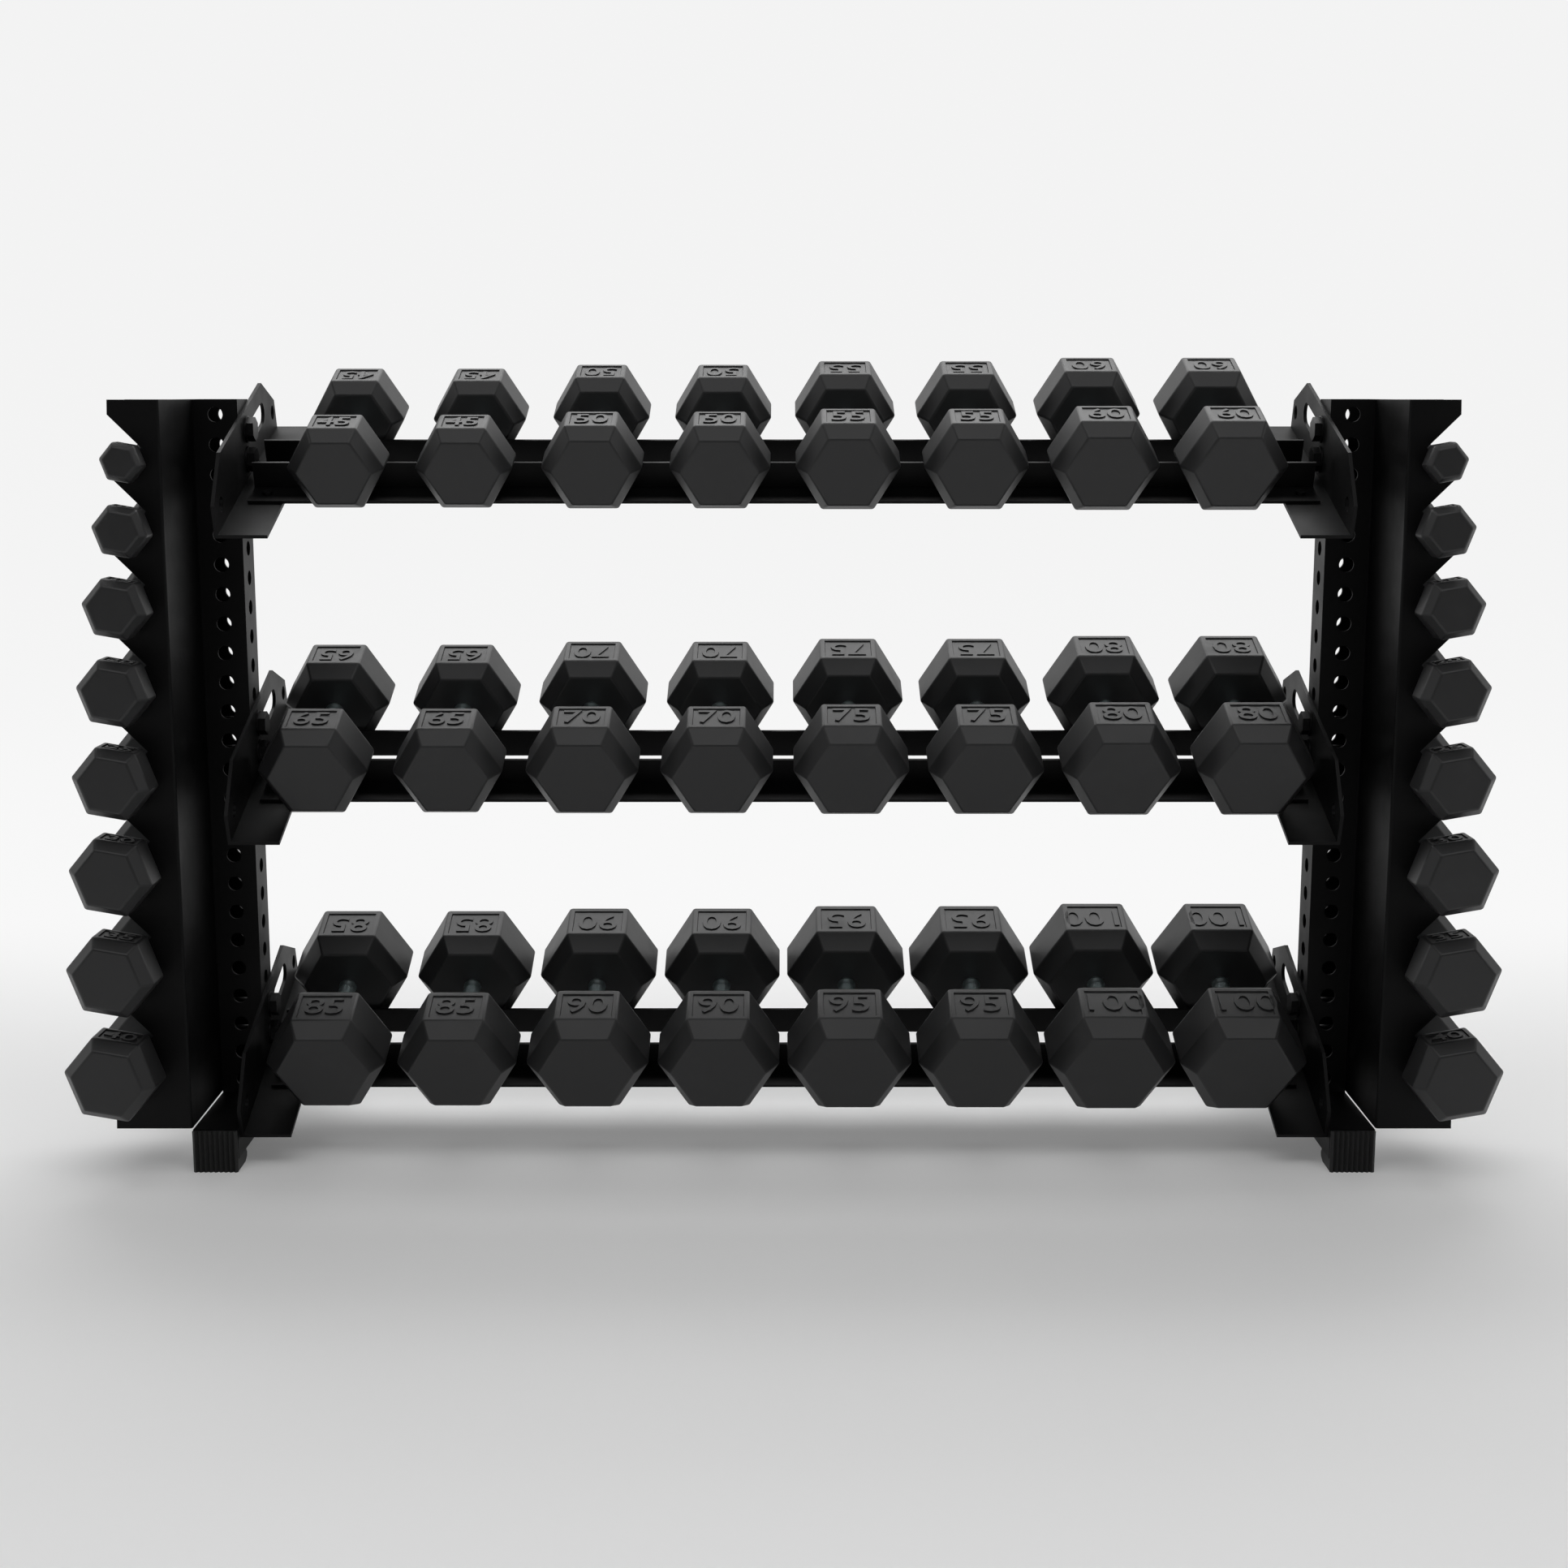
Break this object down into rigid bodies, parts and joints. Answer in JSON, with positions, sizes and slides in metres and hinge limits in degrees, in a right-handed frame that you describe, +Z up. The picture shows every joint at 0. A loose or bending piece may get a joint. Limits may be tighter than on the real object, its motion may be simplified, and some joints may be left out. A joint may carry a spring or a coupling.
{
  "type": "dumbbell rack",
  "caption": "Free-standing three-tier rack of sloped angle rails on perforated square uprights, with notched side combs, holding pairs of rubber hex dumbbells.",
  "frame": {"origin": "middle of the floor under the whole object", "axes": "+X to the right along the rails, +Y to the back, +Z up"},
  "size_m": [2.368, 0.613, 1.3633],
  "materials": {
    "powder_coat": "fine-textured black powder coat, satin",
    "black_hardware": "black oxide, satin",
    "plated_steel": "bright plated steel",
    "head_rubber": "moulded black rubber, low sheen",
    "foot_rubber": "ribbed black rubber, matt"
  },
  "bodies": {
    "rack": {"bottom_brackets": "powder_coat", "bottom_rails": "powder_coat", "foot_left": "powder_coat", "foot_pads": "foot_rubber", "foot_right": "powder_coat", "middle_brackets": "powder_coat", "middle_rails": "powder_coat", "rail_bolts": "black_hardware", "rail_nuts": "plated_steel", "rear_side_combs": "powder_coat", "side_comb_left": "powder_coat", "side_comb_right": "powder_coat", "top_brackets": "powder_coat", "top_rails": "powder_coat", "upright_bolts": "black_hardware", "upright_left": "powder_coat", "upright_nuts": "black_hardware", "upright_right": "powder_coat", "upright_washers": "black_hardware"},
    "dumbbell_05_left": {"dumbbell_05_left": "head_rubber"},
    "dumbbell_05_right": {"dumbbell_05_right": "head_rubber"},
    "dumbbell_100_left": {"dumbbell_100_left": "head_rubber"},
    "dumbbell_100_right": {"dumbbell_100_right": "head_rubber"},
    "dumbbell_10_left": {"dumbbell_10_left": "head_rubber"},
    "dumbbell_10_right": {"dumbbell_10_right": "head_rubber"},
    "dumbbell_15_left": {"dumbbell_15_left": "head_rubber"},
    "dumbbell_15_right": {"dumbbell_15_right": "head_rubber"},
    "dumbbell_20_left": {"dumbbell_20_left": "head_rubber"},
    "dumbbell_20_right": {"dumbbell_20_right": "head_rubber"},
    "dumbbell_25_left": {"dumbbell_25_left": "head_rubber"},
    "dumbbell_25_right": {"dumbbell_25_right": "head_rubber"},
    "dumbbell_30_left": {"dumbbell_30_left": "head_rubber"},
    "dumbbell_30_right": {"dumbbell_30_right": "head_rubber"},
    "dumbbell_35_left": {"dumbbell_35_left": "head_rubber"},
    "dumbbell_35_right": {"dumbbell_35_right": "head_rubber"},
    "dumbbell_40_left": {"dumbbell_40_left": "head_rubber"},
    "dumbbell_40_right": {"dumbbell_40_right": "head_rubber"},
    "dumbbell_45_left": {"dumbbell_45_left": "head_rubber"},
    "dumbbell_45_right": {"dumbbell_45_right": "head_rubber"},
    "dumbbell_50_left": {"dumbbell_50_left": "head_rubber"},
    "dumbbell_50_right": {"dumbbell_50_right": "head_rubber"},
    "dumbbell_55_left": {"dumbbell_55_left": "head_rubber"},
    "dumbbell_55_right": {"dumbbell_55_right": "head_rubber"},
    "dumbbell_60_left": {"dumbbell_60_left": "head_rubber"},
    "dumbbell_60_right": {"dumbbell_60_right": "head_rubber"},
    "dumbbell_65_left": {"dumbbell_65_left": "head_rubber"},
    "dumbbell_65_right": {"dumbbell_65_right": "head_rubber"},
    "dumbbell_70_left": {"dumbbell_70_left": "head_rubber"},
    "dumbbell_70_right": {"dumbbell_70_right": "head_rubber"},
    "dumbbell_75_left": {"dumbbell_75_left": "head_rubber"},
    "dumbbell_75_right": {"dumbbell_75_right": "head_rubber"},
    "dumbbell_80_left": {"dumbbell_80_left": "head_rubber"},
    "dumbbell_80_right": {"dumbbell_80_right": "head_rubber"},
    "dumbbell_85_left": {"dumbbell_85_left": "head_rubber"},
    "dumbbell_85_right": {"dumbbell_85_right": "head_rubber"},
    "dumbbell_90_left": {"dumbbell_90_left": "head_rubber"},
    "dumbbell_90_right": {"dumbbell_90_right": "head_rubber"},
    "dumbbell_95_left": {"dumbbell_95_left": "head_rubber"},
    "dumbbell_95_right": {"dumbbell_95_right": "head_rubber"}
  },
  "joints": [
    {"name": "lift_05_left", "type": "slide", "parent": "rack", "child": "dumbbell_05_left", "axis": [-0.7071, 0, 0.7071], "range_m": [0, 0.045]},
    {"name": "lift_05_right", "type": "slide", "parent": "rack", "child": "dumbbell_05_right", "axis": [0.7071, 0, 0.7071], "range_m": [0, 0.045]},
    {"name": "lift_100_left", "type": "slide", "parent": "rack", "child": "dumbbell_100_left", "axis": [0, -0.342, 0.9397], "range_m": [0, 0.18]},
    {"name": "lift_100_right", "type": "slide", "parent": "rack", "child": "dumbbell_100_right", "axis": [0, -0.342, 0.9397], "range_m": [0, 0.18]},
    {"name": "lift_10_left", "type": "slide", "parent": "rack", "child": "dumbbell_10_left", "axis": [-0.7071, 0, 0.7071], "range_m": [0, 0.045]},
    {"name": "lift_10_right", "type": "slide", "parent": "rack", "child": "dumbbell_10_right", "axis": [0.7071, 0, 0.7071], "range_m": [0, 0.045]},
    {"name": "lift_15_left", "type": "slide", "parent": "rack", "child": "dumbbell_15_left", "axis": [-0.7071, 0, 0.7071], "range_m": [0, 0.045]},
    {"name": "lift_15_right", "type": "slide", "parent": "rack", "child": "dumbbell_15_right", "axis": [0.7071, 0, 0.7071], "range_m": [0, 0.045]},
    {"name": "lift_20_left", "type": "slide", "parent": "rack", "child": "dumbbell_20_left", "axis": [-0.7071, 0, 0.7071], "range_m": [0, 0.045]},
    {"name": "lift_20_right", "type": "slide", "parent": "rack", "child": "dumbbell_20_right", "axis": [0.7071, 0, 0.7071], "range_m": [0, 0.045]},
    {"name": "lift_25_left", "type": "slide", "parent": "rack", "child": "dumbbell_25_left", "axis": [-0.7071, 0, 0.7071], "range_m": [0, 0.045]},
    {"name": "lift_25_right", "type": "slide", "parent": "rack", "child": "dumbbell_25_right", "axis": [0.7071, 0, 0.7071], "range_m": [0, 0.045]},
    {"name": "lift_30_left", "type": "slide", "parent": "rack", "child": "dumbbell_30_left", "axis": [-0.7071, 0, 0.7071], "range_m": [0, 0.045]},
    {"name": "lift_30_right", "type": "slide", "parent": "rack", "child": "dumbbell_30_right", "axis": [0.7071, 0, 0.7071], "range_m": [0, 0.045]},
    {"name": "lift_35_left", "type": "slide", "parent": "rack", "child": "dumbbell_35_left", "axis": [-0.7071, 0, 0.7071], "range_m": [0, 0.045]},
    {"name": "lift_35_right", "type": "slide", "parent": "rack", "child": "dumbbell_35_right", "axis": [0.7071, 0, 0.7071], "range_m": [0, 0.045]},
    {"name": "lift_40_left", "type": "slide", "parent": "rack", "child": "dumbbell_40_left", "axis": [-0.7071, 0, 0.7071], "range_m": [0, 0.045]},
    {"name": "lift_40_right", "type": "slide", "parent": "rack", "child": "dumbbell_40_right", "axis": [0.7071, 0, 0.7071], "range_m": [0, 0.045]},
    {"name": "lift_45_left", "type": "slide", "parent": "rack", "child": "dumbbell_45_left", "axis": [0, -0.342, 0.9397], "range_m": [0, 0.18]},
    {"name": "lift_45_right", "type": "slide", "parent": "rack", "child": "dumbbell_45_right", "axis": [0, -0.342, 0.9397], "range_m": [0, 0.18]},
    {"name": "lift_50_left", "type": "slide", "parent": "rack", "child": "dumbbell_50_left", "axis": [0, -0.342, 0.9397], "range_m": [0, 0.18]},
    {"name": "lift_50_right", "type": "slide", "parent": "rack", "child": "dumbbell_50_right", "axis": [0, -0.342, 0.9397], "range_m": [0, 0.18]},
    {"name": "lift_55_left", "type": "slide", "parent": "rack", "child": "dumbbell_55_left", "axis": [0, -0.342, 0.9397], "range_m": [0, 0.18]},
    {"name": "lift_55_right", "type": "slide", "parent": "rack", "child": "dumbbell_55_right", "axis": [0, -0.342, 0.9397], "range_m": [0, 0.18]},
    {"name": "lift_60_left", "type": "slide", "parent": "rack", "child": "dumbbell_60_left", "axis": [0, -0.342, 0.9397], "range_m": [0, 0.18]},
    {"name": "lift_60_right", "type": "slide", "parent": "rack", "child": "dumbbell_60_right", "axis": [0, -0.342, 0.9397], "range_m": [0, 0.18]},
    {"name": "lift_65_left", "type": "slide", "parent": "rack", "child": "dumbbell_65_left", "axis": [0, -0.342, 0.9397], "range_m": [0, 0.18]},
    {"name": "lift_65_right", "type": "slide", "parent": "rack", "child": "dumbbell_65_right", "axis": [0, -0.342, 0.9397], "range_m": [0, 0.18]},
    {"name": "lift_70_left", "type": "slide", "parent": "rack", "child": "dumbbell_70_left", "axis": [0, -0.342, 0.9397], "range_m": [0, 0.18]},
    {"name": "lift_70_right", "type": "slide", "parent": "rack", "child": "dumbbell_70_right", "axis": [0, -0.342, 0.9397], "range_m": [0, 0.18]},
    {"name": "lift_75_left", "type": "slide", "parent": "rack", "child": "dumbbell_75_left", "axis": [0, -0.342, 0.9397], "range_m": [0, 0.18]},
    {"name": "lift_75_right", "type": "slide", "parent": "rack", "child": "dumbbell_75_right", "axis": [0, -0.342, 0.9397], "range_m": [0, 0.18]},
    {"name": "lift_80_left", "type": "slide", "parent": "rack", "child": "dumbbell_80_left", "axis": [0, -0.342, 0.9397], "range_m": [0, 0.18]},
    {"name": "lift_80_right", "type": "slide", "parent": "rack", "child": "dumbbell_80_right", "axis": [0, -0.342, 0.9397], "range_m": [0, 0.18]},
    {"name": "lift_85_left", "type": "slide", "parent": "rack", "child": "dumbbell_85_left", "axis": [0, -0.342, 0.9397], "range_m": [0, 0.18]},
    {"name": "lift_85_right", "type": "slide", "parent": "rack", "child": "dumbbell_85_right", "axis": [0, -0.342, 0.9397], "range_m": [0, 0.18]},
    {"name": "lift_90_left", "type": "slide", "parent": "rack", "child": "dumbbell_90_left", "axis": [0, -0.342, 0.9397], "range_m": [0, 0.18]},
    {"name": "lift_90_right", "type": "slide", "parent": "rack", "child": "dumbbell_90_right", "axis": [0, -0.342, 0.9397], "range_m": [0, 0.18]},
    {"name": "lift_95_left", "type": "slide", "parent": "rack", "child": "dumbbell_95_left", "axis": [0, -0.342, 0.9397], "range_m": [0, 0.18]},
    {"name": "lift_95_right", "type": "slide", "parent": "rack", "child": "dumbbell_95_right", "axis": [0, -0.342, 0.9397], "range_m": [0, 0.18]}
  ]
}
